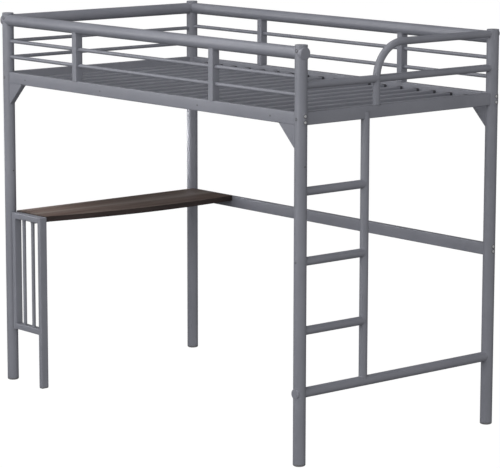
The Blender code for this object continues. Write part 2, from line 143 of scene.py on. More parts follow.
def add_world():
    """A soft surround that is bright to the right, and dim to the left and behind."""
    world = bpy.data.worlds.new("surround")
    bpy.context.scene.world = world
    world.use_nodes = True
    nodes, links = world.node_tree.nodes, world.node_tree.links
    nodes.clear()
    split = nodes.new("ShaderNodeSeparateXYZ")
    links.new(nodes.new("ShaderNodeTexCoord").outputs["Generated"], split.inputs[0])
    total = None
    for axis, sign, strength in SURROUND:
        lobe = nodes.new("ShaderNodeMapRange")
        lobe.inputs["From Max"].default_value = sign
        lobe.inputs["To Max"].default_value = strength
        links.new(split.outputs[axis], lobe.inputs["Value"])
        if total:
            both = nodes.new("ShaderNodeMath")
            links.new(total, both.inputs[0])
            links.new(lobe.outputs["Result"], both.inputs[1])
            total = both.outputs[0]
        else:
            total = lobe.outputs["Result"]
    background = nodes.new("ShaderNodeBackground")
    links.new(total, background.inputs["Strength"])
    links.new(background.outputs[0], nodes.new("ShaderNodeOutputWorld").inputs["Surface"])


def stage_material(name, glow, albedo):
    material = bpy.data.materials.new(name)
    material.use_nodes = True
    shader = material.node_tree.nodes["Principled BSDF"]
    shader.inputs["Base Color"].default_value = (albedo, albedo, albedo, 1)
    shader.inputs["Roughness"].default_value = 1
    shader.inputs["Specular IOR Level"].default_value = 0
    shader.inputs["Emission Color"].default_value = (1, 1, 1, 1)
    shader.inputs["Emission Strength"].default_value = glow
    return material


def add_stage():
    """A pale floor and, far behind it, a white surround. Neither lights the bed."""
    bpy.ops.mesh.primitive_plane_add(size=STAGE_SIZE, location=(0, 0, 0))
    floor = bpy.context.object
    floor.name = "stage_floor"
    floor.data.materials.append(stage_material("stage_floor", 1.0, 0.02))
    bpy.ops.mesh.primitive_uv_sphere_add(radius=STAGE_SIZE * 0.48, location=(0, 0, 0))
    surround = bpy.context.object
    surround.name = "stage_surround"
    surround.data.materials.append(stage_material("stage_surround", 1.0, 0.0))
    for obj in (floor, surround):
        obj.visible_diffuse = False
        obj.visible_glossy = False
        obj.visible_shadow = False


# ---------------------------------------------------------------- materials


class Nodes:
    """A new Principled material and short ways to add nodes to it."""

    def __init__(self, name):
        self.material = bpy.data.materials.new(name)
        self.material.use_nodes = True
        self.nodes = self.material.node_tree.nodes
        self.links = self.material.node_tree.links
        self.shader = self.nodes["Principled BSDF"]
        self.coords = self.nodes.new("ShaderNodeTexCoord").outputs["Object"]

    def mapping(self, scale):
        node = self.nodes.new("ShaderNodeMapping")
        node.inputs["Scale"].default_value = scale
        self.links.new(self.coords, node.inputs["Vector"])
        return node.outputs[0]

    def noise(self, scale, detail=2.0, roughness=0.5, vector=None, distortion=0.0):
        node = self.nodes.new("ShaderNodeTexNoise")
        node.inputs["Scale"].default_value = scale
        node.inputs["Detail"].default_value = detail
        node.inputs["Roughness"].default_value = roughness
        node.inputs["Distortion"].default_value = distortion
        self.links.new(vector if vector else self.coords, node.inputs["Vector"])
        return node.outputs["Fac"]

    def to_range(self, value, low, high, from_low=0.3, from_high=0.7):
        node = self.nodes.new("ShaderNodeMapRange")
        node.inputs["From Min"].default_value = from_low
        node.inputs["From Max"].default_value = from_high
        node.inputs["To Min"].default_value = low
        node.inputs["To Max"].default_value = high
        self.links.new(value, node.inputs["Value"])
        return node.outputs["Result"]

    def mix(self, factor, first, second):
        """A colour between two, each a colour or a socket, by a socket's amount."""
        node = self.nodes.new("ShaderNodeMix")
        node.data_type = "RGBA"
        self.links.new(factor, node.inputs[0])
        for socket, value in ((node.inputs[6], first), (node.inputs[7], second)):
            if isinstance(value, bpy.types.NodeSocket):
                self.links.new(value, socket)
            else:
                socket.default_value = (*value, 1)
        return node.outputs[2]

    def bump(self, height, strength, distance, under=None):
        node = self.nodes.new("ShaderNodeBump")
        node.inputs["Strength"].default_value = strength
        node.inputs["Distance"].default_value = distance
        self.links.new(height, node.inputs["Height"])
        if under:
            self.links.new(under, node.inputs["Normal"])
        return node.outputs["Normal"]

    def finish(self, colour, roughness, normal):
        for name, socket in (("Base Color", colour), ("Roughness", roughness), ("Normal", normal)):
            self.links.new(socket, self.shader.inputs[name])
        return self.material


def powder_coat(name, dark, light, low_roughness, high_roughness):
    """Satin powder coat: faint cloudiness, orange peel, fine flake and a few rubbed patches."""
    made = Nodes(name)
    cloud = made.to_range(made.noise(scale=5, detail=3), 0, 1)
    tint = made.mix(cloud, dark, light)
    rub = made.to_range(made.noise(scale=17, detail=4, roughness=0.6), 0, 0.22, 0.60, 0.74)
    tint = made.mix(rub, tint, tuple(channel * 1.22 for channel in light))
    flake = made.to_range(made.noise(scale=1700, detail=1), 0, 0.035, 0.45, 0.75)
    tint = made.mix(flake, tint, (0.8, 0.8, 0.85))
    roughness = made.to_range(made.noise(scale=31, detail=3), low_roughness, high_roughness)
    peel = made.bump(made.noise(scale=520, detail=2), strength=0.16, distance=0.00018)
    return made.finish(tint, roughness, peel)


def bolt_steel():
    made = Nodes("bolt_zinc")
    cloud = made.to_range(made.noise(scale=300, detail=3), 0, 1)
    tint = made.mix(cloud, (0.52, 0.525, 0.54), (0.68, 0.685, 0.70))
    made.shader.inputs["Metallic"].default_value = 0.9
    roughness = made.to_range(made.noise(scale=500, detail=2), 0.30, 0.46)
    grain = made.bump(made.noise(scale=1500, detail=2), strength=0.2, distance=0.0001)
    return made.finish(tint, roughness, grain)


def moulded_plastic(name, dark, light):
    made = Nodes(name)
    tint = made.mix(made.to_range(made.noise(scale=60, detail=3), 0, 1), dark, light)
    roughness = made.to_range(made.noise(scale=200, detail=2), 0.5, 0.68)
    grain = made.bump(made.noise(scale=1800, detail=3), strength=0.35, distance=0.00015)
    return made.finish(tint, roughness, grain)


def board_wood(name, deep, middle, pale, shine):
    """Dark brown wood-grain facing, with the grain along the desk."""
    made = Nodes(name)
    along = made.mapping((38, 1.3, 38))
    streaks = made.noise(scale=1.0, detail=5, roughness=0.62, vector=along, distortion=0.5)
    fine = made.noise(scale=1.0, detail=4, roughness=0.7, vector=made.mapping((240, 5, 240)))
    base = made.mix(made.to_range(streaks, 0, 1, 0.36, 0.64), deep, middle)
    broad = made.noise(scale=1.0, detail=3, roughness=0.55, vector=made.mapping((13, 0.7, 13)))
    base = made.mix(made.to_range(broad, 0, 0.6, 0.46, 0.64), base, pale)
    base = made.mix(made.to_range(fine, 0, 0.45, 0.42, 0.70), base, tuple(c * 0.6 for c in deep))
    made.shader.inputs["Specular IOR Level"].default_value = 0.28
    roughness = made.to_range(fine, shine, shine + 0.16)
    pores = made.bump(fine, strength=0.30, distance=0.0003)
    relief = made.bump(streaks, strength=0.10, distance=0.0005, under=pores)
    return made.finish(base, roughness, relief)


# ---------------------------------------------------------------- shapes


def loft(name, loops, cyclic=False, sharp_degrees=32):
    """A closed mesh through loops of points with equal counts, capped unless it is cyclic."""
    shape = bmesh.new()
    rings = [[shape.verts.new(point) for point in loop] for loop in loops]
    pairs = list(zip(rings, rings[1:]))
    if cyclic:
        pairs.append((rings[-1], rings[0]))
    else:
        shape.faces.new(rings[0][::-1])
        shape.faces.new(rings[-1])
    for low, high in pairs:
        for i, point in enumerate(low):
            j = (i + 1) % len(low)
            shape.faces.new((point, low[j], high[j], high[i]))
    bmesh.ops.recalc_face_normals(shape, faces=shape.faces)
    mesh = bpy.data.meshes.new(name)
    shape.to_mesh(mesh)
    shape.free()
    mesh.shade_smooth()
    mesh.set_sharp_from_angle(angle=math.radians(sharp_degrees))
    return mesh


def join_meshes(name, meshes):
    """One mesh from several, which are then dropped."""
    shape = bmesh.new()
    for mesh in meshes:
        shape.from_mesh(mesh)
        bpy.data.meshes.remove(mesh)
    joined = bpy.data.meshes.new(name)
    shape.to_mesh(joined)
    shape.free()
    return joined


def across_axes(axis):
    """Two directions square to an axis, so that they and the axis are right-handed."""
    first = X if abs(axis.x) < 0.9 else Y
    first = (first - axis * first.dot(axis)).normalized()
    return first, axis.cross(first)


def ring(centre, axis, radius, sides):
    first, second = across_axes(axis)
    step = 2 * math.pi / sides
    return [
        centre + first * radius * math.cos(i * step) + second * radius * math.sin(i * step)
        for i in range(sides)
    ]


def turned(name, base, axis, profile, sides):
    """A solid of revolution from (distance along the axis, radius) pairs."""
    return loft(name, [ring(base + axis * along, axis, radius, sides) for along, radius in profile])


def rounded_outline(half_u, half_v, corner):
    points = []
    for quarter, (su, sv) in enumerate(((1, 1), (-1, 1), (-1, -1), (1, -1))):
        for i in range(CORNER_STEPS + 1):
            angle = math.pi / 2 * (quarter + i / CORNER_STEPS)
            points.append(
                (
                    su * (half_u - corner) + corner * math.cos(angle),
                    sv * (half_v - corner) + corner * math.sin(angle),
                )
            )
    return points


def box_section(name, low, high, axis, corner, ease=0.0):
    """A bar with rolled corners along an axis, with its ends eased by a small chamfer."""
    direction = AXES[axis]
    first, second = across_axes(direction)
    middle, half = (low + high) / 2, (high - low) / 2
    half_u, half_v, length = abs(half.dot(first)), abs(half.dot(second)), abs(half.dot(direction))
    stations = [(-length, ease), (-length + ease, 0), (length - ease, 0), (length, ease)]
    if not ease:
        stations = [(-length, 0), (length, 0)]
    loops = [
        [
            middle + direction * along + first * u + second * v
            for u, v in rounded_outline(half_u - inset, half_v - inset, corner - inset * 0.5)
        ]
        for along, inset in stations
    ]
    return loft(name, loops)


def bead(name, points, size):
    """A weld along a closed line of points: a thin round bead with ripples."""
    path = evenly_spaced(points, 0.0011)
    loops = []
    for i, point in enumerate(path):
        direction = (path[(i + 1) % len(path)] - path[i - 1]).normalized()
        swell = 1 + 0.16 * math.sin(i * 2 * math.pi / 3)
        loops.append(ring(point, direction, size * swell, 8))
    return loft(name, untwisted(loops), cyclic=True, sharp_degrees=180)


def evenly_spaced(points, step):
    """The same closed line with a point about every step."""
    spaced = []
    for start, stop in zip(points, points[1:] + points[:1]):
        parts = max(1, round((stop - start).length / step))
        spaced += [start.lerp(stop, i / parts) for i in range(parts)]
    return spaced


def untwisted(loops):
    """Turns each ring so that its first point lies nearest the one before."""
    turned_loops = [loops[0]]
    for loop in loops[1:]:
        anchor = turned_loops[-1][0]
        start = min(range(len(loop)), key=lambda i: (loop[i] - anchor).length_squared)
        turned_loops.append(loop[start:] + loop[:start])
    return turned_loops


def saddle_line(centre, post_radius, direction, height, radius, sides=64):
    """Where a level round tube meets an upright round post."""
    lateral = Z.cross(direction)
    points = []
    for i in range(sides):
        angle = 2 * math.pi * i / sides
        aside = radius * math.cos(angle)
        out = math.sqrt(max(0.0, post_radius**2 - aside**2))
        points.append(
            Vector((centre.x, centre.y, height + radius * math.sin(angle)))
            + direction * out
            + lateral * aside
        )
    return points


# ---------------------------------------------------------------- pieces

MATERIALS = {}


def add_piece(name, mesh, material, nodes=()):
    mesh.materials.append(MATERIALS[material])
    obj = bpy.data.objects.new(name, mesh)
    bpy.context.scene.collection.objects.link(obj)
    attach(obj, "root")
    if nodes:
        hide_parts(*nodes)
    return obj


def steel(name, mesh, *nodes, material="steel"):
    return add_piece(name, mesh, material, nodes)


def node_middle(node):
    low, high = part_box(node)
    return (low + high) / 2


def tube_radius(node, axis=2):
    """Half the size of a node's box along an axis across its tube."""
    low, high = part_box(node)
    return (high[axis] - low[axis]) / 2


def post_centre(place):
    """Centre of a post's foot, and its radius. The glide is round, with no stub on it."""
    low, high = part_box(f"foot_{place}")
    middle = (low + high) / 2
    return Vector((middle.x, middle.y, 0)), (high.x - low.x) / 2


def post_centres(*places):
    return [post_centre(place)[0] for place in places]


def make_posts():
    """Round posts with a plug in the top, a seam round the plug, and a rolled lower edge."""
    for place in POSTS:
        centre, radius = post_centre(place)
        low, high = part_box(f"post_{place}")
        top, bottom = high.z, low.z
        plug = 0.0055
        profile = [
            (bottom, radius - 0.0015),
            (bottom, radius - 0.0006),
            (bottom + 0.0006, radius),
            (top - plug - 0.0006, radius),
            (top - plug - 0.0002, radius - 0.0007),
            (top - plug + 0.0002, radius - 0.0007),
            (top - plug + 0.0006, radius - 0.0001),
            (top - 0.0011, radius - 0.0001),
            (top - 0.0004, radius - 0.0004),
            (top - 0.0001, radius - 0.0009),
            (top, radius - 0.0016),
            (top, radius * 0.5),
        ]
        mesh = turned(f"post_{place}_tube", centre, Z, profile, POST_SIDES)
        steel(f"post_{place}_tube", mesh, f"post_{place}")


def make_glides():
    for place in POSTS:
        low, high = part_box(f"foot_{place}")
        centre, radius = post_centre(place)
        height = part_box(f"post_{place}")[0].z
        profile = [
            (0.0, radius * 0.5),
            (0.0, radius - 0.0060),
            (0.0005, radius - 0.0042),
            (0.0016, radius - 0.0022),
            (0.0030, radius - 0.0009),
            (0.0046, radius - 0.0002),
            (0.0060, radius),
            (height - 0.0009, radius),
            (height - 0.0004, radius - 0.0004),
            (height - 0.0003, radius - 0.0012),
            (high.z, radius - 0.0020),
        ]
        mesh = turned(f"foot_{place}_glide", centre, Z, profile, POST_SIDES)
        add_piece(f"foot_{place}_glide", mesh, "plastic", [f"foot_{place}"])
    low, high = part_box("foot_desk_leg")
    middle, half = (low + high) / 2, (high - low) / 2
    stations = [(0.0, 0.0035), (0.0006, 0.0022), (0.0020, 0.0008), (0.0038, 0.0), (0.0060, 0.0)]
    loops = []
    for z, inset in stations:
        outline = rounded_outline(half.x - inset, half.y - inset, 0.004)
        loops.append([Vector((middle.x + u, middle.y + v, z)) for u, v in outline])
    name = "foot_desk_leg_glide"
    add_piece(name, loft(name, loops), "plastic", ["foot_desk_leg"])


def round_bar(node, axis, start, stop, radius, sides, ease=(0.0, 0.0)):
    """A round tube between two places along an axis, through the middle of its node's box."""
    low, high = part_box(node)
    direction = AXES[axis]
    middle = (low + high) / 2
    base = middle - direction * middle.dot(direction)
    profile = []
    for end, inward, amount in ((start, 1, ease[0]), (stop, -1, ease[1])):
        side = [(end, radius * 0.6), (end, radius)]
        if amount:
            side = [
                (end, radius * 0.6),
                (end, radius - 2.2 * amount),
                (end + inward * 0.3 * amount, radius - amount),
                (end + inward * amount, radius - 0.3 * amount),
                (end + inward * 2.2 * amount, radius),
            ]
        profile += side if inward > 0 else side[::-1]
    return turned(f"{node}_tube", base, direction, profile, sides)


def make_top_rails():
    left, right, back = post_centres("front_left", "front_right", "back_left")
    far_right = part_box("post_front_right")[1].x
    far_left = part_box("post_front_left")[0].x
    size = tube_radius("top_rail_front")
    mesh = round_bar("top_rail_front", "X", far_left, far_right, size, TUBE_SIDES, (0.0016, 0.0016))
    steel("top_rail_front_tube", mesh, "top_rail_front")
    mesh = round_bar("top_rail_back", "X", left.x, right.x, size - HAIR / 2, TUBE_SIDES)
    steel("top_rail_back_tube", mesh, "top_rail_back")
    mesh = round_bar("top_rail_left", "Y", left.y, back.y, size - HAIR / 2, TUBE_SIDES)
    steel("top_rail_left_tube", mesh, "top_rail_left")


def make_rods():
    left, right, back = post_centres("front_left", "front_right", "back_left")
    for level in ("upper", "lower"):
        for side in ("front", "back", "left"):
            node = f"guard_rod_{side}_{level}"
            axis, start, stop = ("Y", left.y, back.y) if side == "left" else ("X", left.x, right.x)
            mesh = round_bar(node, axis, start, stop, tube_radius(node), ROD_SIDES)
            steel(f"{node}_tube", mesh, node)


def make_uprights():
    for side in ("front", "back"):
        rail_z = node_middle(f"top_rail_{side}").z
        for end in ("left", "right"):
            node = f"guard_upright_{side}_{end}"
            low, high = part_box(node)
            low, high = Vector((low.x, low.y, low.z - 0.0004)), Vector((high.x, high.y, rail_z))
            steel(f"{node}_tube", box_section(f"{node}_tube", low, high, "Z", TUBE_CORNER), node)


def make_deck_rails():
    left, right, back = post_centres("front_left", "front_right", "back_left")
    spans = {"side_rail_front": "X", "side_rail_back": "X", "desk_back_rail": "X"}
    spans.update({"end_rail_left": "Y", "end_rail_right": "Y"})
    for node, axis in spans.items():
        low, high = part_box(node)
        low, high = Vector(low), Vector(high)
        if axis == "X":
            low.x, high.x = left.x, right.x
        else:
            low.y, high.y = left.y, back.y
        steel(f"{node}_tube", box_section(f"{node}_tube", low, high, axis, RAIL_CORNER), node)


def make_gussets():
    """Folded corner plates: a sloping face with a flange down each side, rolled at the folds."""
    rail_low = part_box("side_rail_front")[0].z
    corner = 0.0025
    flange = 0.120
    steps = 6
    for place in POSTS:
        node = f"gusset_{place}"
        low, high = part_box(node)
        centre, radius = post_centre(place)
        sign = math.copysign(1, centre.x)
        leg = (high.z - low.z) - 0.003
        toe = low.x if sign > 0 else high.x
        middle_y, half_y = (low.y + high.y) / 2, (high.y - low.y) / 2
        slope = Vector((sign, 0, -1)).normalized()
        out = Vector((-sign, 0, -1)).normalized()
        start = Vector((toe, middle_y, rail_low)) - slope * SINK
        stop = Vector((centre.x - sign * (radius - SINK), middle_y, rail_low))
        stop += Vector((0, 0, -(leg + SINK)))
        turns = [math.pi / 2 * step / CORNER_STEPS for step in range(CORNER_STEPS + 1)]
        fold = []
        for turn in turns:
            fold.append((half_y - corner * (1 - math.sin(turn)), -corner * (1 - math.cos(turn))))
        outline = [(-y, depth) for y, depth in fold][::-1] + fold
        loops = []
        for share in range(steps + 1):
            point = start.lerp(stop, share / steps)
            reach = min(flange, rail_low + 0.001 - point.z)
            band = [point + Y * y + out * depth for y, depth in outline]
            lid = [Vector((point.x, middle_y + side * half_y, point.z + reach)) for side in (1, -1)]
            loops.append(band + lid)
        steel(f"{node}_plate", loft(f"{node}_plate", loops), node)


def make_slats():
    for node in SLATS:
        low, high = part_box(node)
        low, high = low - Y * 0.0008, high + Y * 0.0008
        mesh = box_section(f"{node}_tube", low, high, "Y", SLAT_CORNER)
        steel(f"{node}_tube", mesh, node, material="slat_steel")


def make_slat_ends():
    """Moulded holders that take the slats' ends, against the side rails' inner faces; their near-black
    tone is painted shade, the dark gap at each slat's end.
    """
    deep, ease = 0.015, 0.0012
    wider, lower, higher = 0.0006, 0.0004, 0.0008
    for node in SLATS:
        low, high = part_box(node)
        for side, face, inner in (("front", low.y, low.y + deep), ("back", high.y, high.y - deep)):
            near = Vector((low.x - wider, min(face, inner), low.z - lower))
            far = Vector((high.x + wider, max(face, inner), high.z + higher))
            name = f"holder_{side}_{node[-2:]}"
            mesh = box_section(name, near, far, "Y", HOLDER_CORNER, ease)
            add_piece(name, mesh, "holder")


def make_ladder():
    front, back = post_centres("front_right", "back_right")
    far_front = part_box("post_front_right")[0].y
    radius = tube_radius("lower_end_rail")
    mesh = round_bar("lower_end_rail", "Y", far_front, back.y, radius, TUBE_SIDES, (0.0008, 0.0))
    steel("lower_end_rail_tube", mesh, "lower_end_rail")
    stile_y, stile_top = node_middle("ladder_stile").y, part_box("ladder_stile")[1].z
    stile_radius = tube_radius("ladder_stile", 0)
    rail_z = node_middle("lower_end_rail").z
    mesh = round_bar("ladder_stile", "Z", rail_z, stile_top, stile_radius, TUBE_SIDES, (0.0, 0.0006))
    steel("ladder_stile_tube", mesh, "ladder_stile")
    for index in (1, 2, 3):
        node = f"ladder_rung_{index}"
        mesh = round_bar(node, "Y", front.y, stile_y, stile_radius - HAIR, TUBE_SIDES)
        steel(f"{node}_tube", mesh, node)


def make_entry():
    front, back = post_centres("front_right", "back_right")
    radius, bar_z = tube_radius("entry_bar"), node_middle("entry_bar").z
    mesh = round_bar("entry_bar", "Y", front.y, back.y, radius, TUBE_SIDES)
    steel("entry_bar_tube", mesh, "entry_bar")
    foot_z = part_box("entry_leg")[0].z - 0.0006
    mesh = round_bar("entry_leg", "Z", foot_z, bar_z, radius - HAIR, TUBE_SIDES)
    steel("entry_leg_tube", mesh, "entry_leg")
    leg = node_middle("entry_leg")
    arch_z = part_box("grab_arch")[1].z - radius
    bend = arch_z - bar_z
    end_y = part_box("post_back_right")[1].y
    ends = ((0.0, 0.0014), (0.0003, 0.0005), (0.0009, 0.0))
    path = [(Vector((leg.x, end_y - along, arch_z)), -Y, radius - inset) for along, inset in ends]
    steps = 48
    for i in range(steps + 1):
        turn = math.pi / 2 * i / steps
        point = Vector((leg.x, leg.y + bend * (1 - math.sin(turn)), bar_z + bend * math.cos(turn)))
        path.append((point, Vector((0, -math.cos(turn), -math.sin(turn))), radius))
    loops = []
    for point, direction, size in path:
        second = direction.cross(X)
        loops.append(
            [
                point + X * size * math.cos(a) + second * size * math.sin(a)
                for a in (2 * math.pi * k / TUBE_SIDES for k in range(TUBE_SIDES))
            ]
        )
    steel("grab_arch_tube", loft("grab_arch_tube", loops), "grab_arch")


def add_frame_rod(name, base, axis, start, stop):
    """A plain rod of the desk's end frame."""
    radius, core = FRAME_ROD_RADIUS, FRAME_ROD_RADIUS / 2
    profile = [(start, core), (start, radius), (stop, radius), (stop, core)]
    steel(name, turned(name, base, axis, profile, ROD_SIDES))


def make_desk_frame():
    """The end frame's leg, bars, upright and rods, as separate tubes welded together."""
    low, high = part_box("desk_end_frame")
    leg_left = high.x - FRAME_WIDE
    upright_right = FRAME_LEFT + FRAME_WIDE
    bar_top = FRAME_BOTTOM + FRAME_TALL
    parts = {
        "leg": (Vector((leg_left, low.y, low.z - 0.0003)), high, "Z"),
        "upright": (
            Vector((FRAME_LEFT, low.y, FRAME_BOTTOM)),
            Vector((upright_right, high.y, high.z)),
            "Z",
        ),
        "top_bar": (
            Vector((upright_right - SINK, low.y, high.z - FRAME_TALL)),
            Vector((leg_left + SINK, high.y, high.z)),
            "X",
        ),
        "bottom_bar": (
            Vector((upright_right - SINK, low.y, FRAME_BOTTOM)),
            Vector((leg_left + SINK, high.y, bar_top)),
            "X",
        ),
    }
    for part, (corner, far, axis) in parts.items():
        name = f"desk_frame_{part}"
        nodes = ["desk_end_frame"] if part == "leg" else []
        steel(name, box_section(name, corner, far, axis, TUBE_CORNER, 0.0004), *nodes)
    middle_y = (low.y + high.y) / 2
    lap = 0.003
    for index, x in enumerate(FRAME_ROD_X):
        base, start, stop = Vector((x, middle_y, 0)), bar_top - lap, high.z - FRAME_TALL + lap
        add_frame_rod(f"desk_frame_rod_{index + 1}", base, Z, start, stop)
    post, radius = post_centre("front_left")
    for index, z in enumerate(FRAME_SPACER_Z):
        base, start, stop = Vector((0, middle_y, z)), post.x + radius - SINK, FRAME_LEFT + 0.001
        add_frame_rod(f"desk_frame_spacer_{index + 1}", base, X, start, stop)
    low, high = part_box("desk_cross_bar")
    name = "desk_cross_bar_tube"
    steel(name, box_section(name, low, high, "Y", TUBE_CORNER), "desk_cross_bar")


def board_edge_x(y):
    """The bowed right-hand edge of the board."""
    share = (y + BOARD_HALF) / (2 * BOARD_HALF)
    straight = BOARD_FRONT_X + share * (BOARD_BACK_X - BOARD_FRONT_X)
    return straight + BOARD_BOW * math.sin(math.pi * share)


def board_outline(low, high, inset, z):
    """The board's edge drawn in by an inset: rounded corners, and points along the bowed side."""
    radius = BOARD_CORNER - inset
    corner_steps, bow_steps = 8, 40
    left, front, back = low.x + inset, low.y + inset, high.y - inset
    points = []

    def quarter(cx, cy, start):
        for i in range(corner_steps + 1):
            angle = math.radians(start + 90 * i / corner_steps)
            points.append(Vector((cx + radius * math.cos(angle), cy + radius * math.sin(angle), z)))

    quarter(left + radius, front + radius, 180)
    quarter(board_edge_x(front + radius) - inset - radius, front + radius, 270)
    for i in range(1, bow_steps):
        y = front + radius + (back - front - 2 * radius) * i / bow_steps
        points.append(Vector((board_edge_x(y) - inset, y, z)))
    quarter(board_edge_x(back - radius) - inset - radius, back - radius, 0)
    quarter(left + radius, back - radius, 90)
    return points


def make_board():
    low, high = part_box("desk_board")
    layers = [
        (BOARD_EASE, low.z),
        (BOARD_EASE * 0.3, low.z + BOARD_EASE * 0.3),
        (0.0, low.z + BOARD_EASE),
        (0.0, high.z - BOARD_EASE),
        (BOARD_EASE * 0.3, high.z - BOARD_EASE * 0.3),
        (BOARD_EASE, high.z),
    ]
    mesh = loft("desk_board_panel", [board_outline(low, high, inset, z) for inset, z in layers])
    panel = add_piece("desk_board_panel", mesh, "board", ["desk_board"])
    panel.data.materials.append(MATERIALS["board_edge"])
    for face in panel.data.polygons:
        face.material_index = int(abs(face.normal.z) < 0.7)


# ---------------------------------------------------------------- fasteners and welds


def bolt_mesh(name, place, direction, radius):
    """A low round bolt head with a hexagonal socket."""
    height = 0.0017
    socket = 0.0024
    first, second = across_axes(direction)

    def hexagon(along):
        points = []
        for i in range(BOLT_SIDES):
            angle = 2 * math.pi * i / BOLT_SIDES
            reach = socket / math.cos((angle % (math.pi / 3)) - math.pi / 6)
            aside = first * reach * math.cos(angle) + second * reach * math.sin(angle)
            points.append(place + direction * along + aside)
        return points

    profile = [
        (-SINK, radius * 0.96),
        (height * 0.30, radius * 0.96),
        (height * 0.60, radius * 0.90),
        (height * 0.85, radius * 0.74),
        (height, radius * 0.52),
    ]
    loops = [ring(place + direction * along, direction, size, BOLT_SIDES) for along, size in profile]
    loops += [hexagon(height), hexagon(height * 0.35)]
    return loft(name, loops)


def add_bolt(name, place, direction, radius=BOLT_RADIUS, material="bolt"):
    """A bolt head on a dark washer, whose dark ring is painted shade: the occlusion round the head."""
    rim = radius * 1.4
    profile = [(0, rim), (0.0040, rim), (0.0044, radius * 1.3), (0.0044, radius * 0.9)]
    washer = turned(f"{name}_washer", place - direction * SINK, direction, profile, BOLT_SIDES)
    add_piece(f"{name}_washer", washer, "washer")
    add_piece(name, bolt_mesh(name, place, direction, radius), material)


def add_saddle(name, centre, radius, side, level, thick):
    """An oblong plate with round ends, curved to the post, under a pair of bolts."""
    half_wide, half_tall, ease, under = 0.0145, 0.0270, 0.0007, 0.0012
    lateral = Z.cross(side)
    steps = 10
    loops = []
    for i in range(-steps, steps + 1):
        aside = half_wide * math.sin(math.pi / 2 * i / steps)
        half = half_tall - half_wide + math.sqrt(half_wide**2 - aside**2)
        turn = aside / radius
        out = side * math.cos(turn) + lateral * math.sin(turn)
        section = [(-under, half), (thick - ease, half), (thick, half - ease)]
        section += [(depth, -up) for depth, up in section[::-1]]
        post = Vector((centre.x, centre.y, level))
        loops.append([post + Z * up + out * (radius + depth) for depth, up in section])
    steel(name, loft(name, loops, sharp_degrees=50))


def make_bolts():
    rail_z = node_middle("side_rail_front").z
    desk_z = node_middle("desk_back_rail").z + DESK_BOLT_RAISE
    saddle = 0.0017
    small, tiny = 0.0044, 0.0036
    for place in POSTS:
        centre, radius = post_centre(place)
        side = X * math.copysign(1, centre.x)
        outward = Y * math.copysign(1, centre.y)
        add_saddle(f"saddle_side_rail_{place}", centre, radius, side, rail_z, saddle)
        for label, z in (("upper", rail_z + SIDE_BOLT_APART), ("lower", rail_z - SIDE_BOLT_APART)):
            spot = Vector((centre.x, centre.y, z)) + side * (radius + 0.0014)
            add_bolt(f"bolt_side_rail_{place}_{label}", spot, side)
        spot = Vector((centre.x, centre.y, rail_z)) + outward * (radius - SEAT)
        add_bolt(f"bolt_end_rail_{place}", spot, outward, small, "steel")
        if place.startswith("back"):
            for label, z in (("upper", desk_z + DESK_BOLT_APART), ("lower", desk_z - DESK_BOLT_APART)):
                spot = Vector((centre.x, centre.y, z)) + side * (radius - SEAT)
                add_bolt(f"bolt_desk_rail_{place}_{label}", spot, side)
    for place in ("front_left", "front_right"):
        centre, radius = post_centre(place)
        top_z = node_middle("top_rail_front").z + TOP_BOLT_RAISE
        spot = Vector((centre.x, centre.y, top_z)) - Y * (radius - SEAT)
        add_bolt(f"bolt_top_rail_{place}", spot, -Y, 0.0052, "steel")
    centre, radius = post_centre("front_right")
    spot = Vector((centre.x, centre.y, node_middle("ladder_rung_2").z)) - Y * (radius - SEAT)
    add_bolt("bolt_ladder_rung", spot, -Y, tiny, "steel")


def make_rivets():
    """Small plugged holes along the front rail and on two posts, and a screw on the back rail."""
    low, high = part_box("side_rail_front")
    profile = [(-0.002, 0.0034), (SEAT, 0.0034), (0.0007, 0.0026), (0.0009, 0.0014)]
    for index, x in enumerate(RAIL_PLUG_X):
        name = f"rivet_front_rail_{index + 1}"
        base = Vector((x, low.y, (low.z + high.z) / 2 - RAIL_PLUG_DROP))
        add_piece(name, turned(name, base, -Y, profile, RIVET_SIDES), "washer")
    for place, z in POST_PLUG_Z:
        centre, radius = post_centre(place)
        name = f"rivet_{place}"
        base = centre + X * (radius - SEAT) + Z * z
        add_piece(name, turned(name, base, X, profile, RIVET_SIDES), "washer")
    low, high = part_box("side_rail_back")
    base = Vector((SCREW_X, (low.y + high.y) / 2, high.z))
    name = "screw_back_rail"
    add_piece(name, bolt_mesh(name, base, Z, 0.0042), "bolt")


def add_weld(name, lines, size):
    """One piece from the beads along several lines."""
    mesh = join_meshes(name, [bead(f"{name}_{i}", line, size) for i, line in enumerate(lines)])
    mesh.shade_smooth()
    steel(name, mesh)


